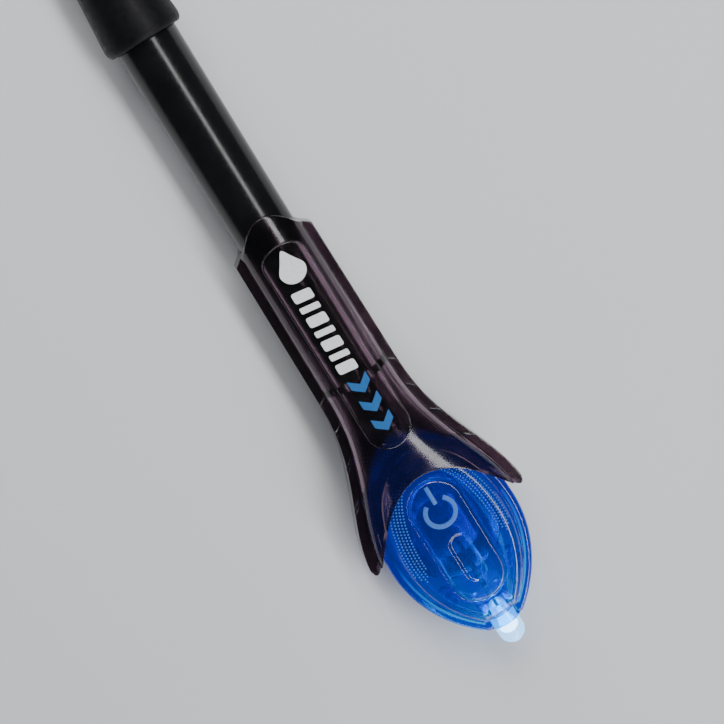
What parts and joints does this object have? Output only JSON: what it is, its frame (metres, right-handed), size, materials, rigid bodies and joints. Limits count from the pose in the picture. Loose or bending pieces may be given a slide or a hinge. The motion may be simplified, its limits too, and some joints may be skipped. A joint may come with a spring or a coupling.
{
  "type": "uv curing lamp",
  "caption": "Pen-shaped UV curing lamp: capped resin barrel in a smoked holder with a press-button UV torch between its wings.",
  "frame": {"origin": "centre of the pen's length and width, on the surface that its back plateau lies on", "axes": "+X along the pen towards the LED, +Z out of the label and button face"},
  "size_m": [0.1556, 0.0318, 0.015],
  "materials": {
    "smoked_plastic": "gloss",
    "barrel_plastic": "gloss",
    "cap_plastic": "satin",
    "natural_plastic": "satin",
    "needle_steel": "satin",
    "seal_silicone": "matte",
    "torch_plastic": "gloss",
    "cradle_plastic": "satin",
    "nickel": "satin",
    "gasket_nylon": "matte",
    "led_epoxy": "gloss",
    "screw_steel": "satin"
  },
  "bodies": {
    "holder": {"holder_front_shell": "smoked_plastic", "holder_back_shell": "smoked_plastic"},
    "barrel": {"glue_barrel": "barrel_plastic", "nozzle_hub": "natural_plastic", "dispensing_needle": "needle_steel"},
    "cap": {"cap_shell": "cap_plastic", "cap_seal": "seal_silicone"},
    "torch": {"torch_cover_shell": "torch_plastic", "torch_base_shell": "torch_plastic", "cell_cradle": "cradle_plastic", "led_lens": "led_epoxy", "upper_cell_can": "nickel", "upper_cell_lid": "nickel", "upper_cell_gasket": "gasket_nylon", "lower_cell_can": "nickel", "lower_cell_lid": "nickel", "lower_cell_gasket": "gasket_nylon", "led_cathode_lead": "nickel", "torch_screw_1": "screw_steel", "torch_screw_2": "screw_steel", "torch_screw_3": "screw_steel"},
    "button": {"press_button": "torch_plastic"},
    "contact": {"led_anode_lead": "nickel"}
  },
  "joints": [
    {"name": "barrel_pull", "type": "slide", "parent": "holder", "child": "barrel", "axis": [-1, 0, 0], "range_m": [0, 0.033]},
    {"name": "cap_pull", "type": "slide", "parent": "barrel", "child": "cap", "axis": [-1, 0, 0], "range_m": [0, 0.029]},
    {"name": "torch_pull", "type": "slide", "parent": "holder", "child": "torch", "axis": [1, 0, 0], "range_m": [0, 0.021]},
    {"name": "button_press", "type": "slide", "parent": "torch", "child": "button", "axis": [0, 0, -1], "range_m": [0, 0.00035], "stiffness_N_per_m": 5000},
    {"name": "contact_flex", "type": "hinge", "parent": "torch", "child": "contact", "pos_m": [0.0689, 0, 0.00877], "axis": [0, -1, 0], "range_deg": [0, 1.1]}
  ],
  "couplings": [
    {"joint": "contact_flex", "follows": "button_press", "rad_per_m": 52.857}
  ]
}
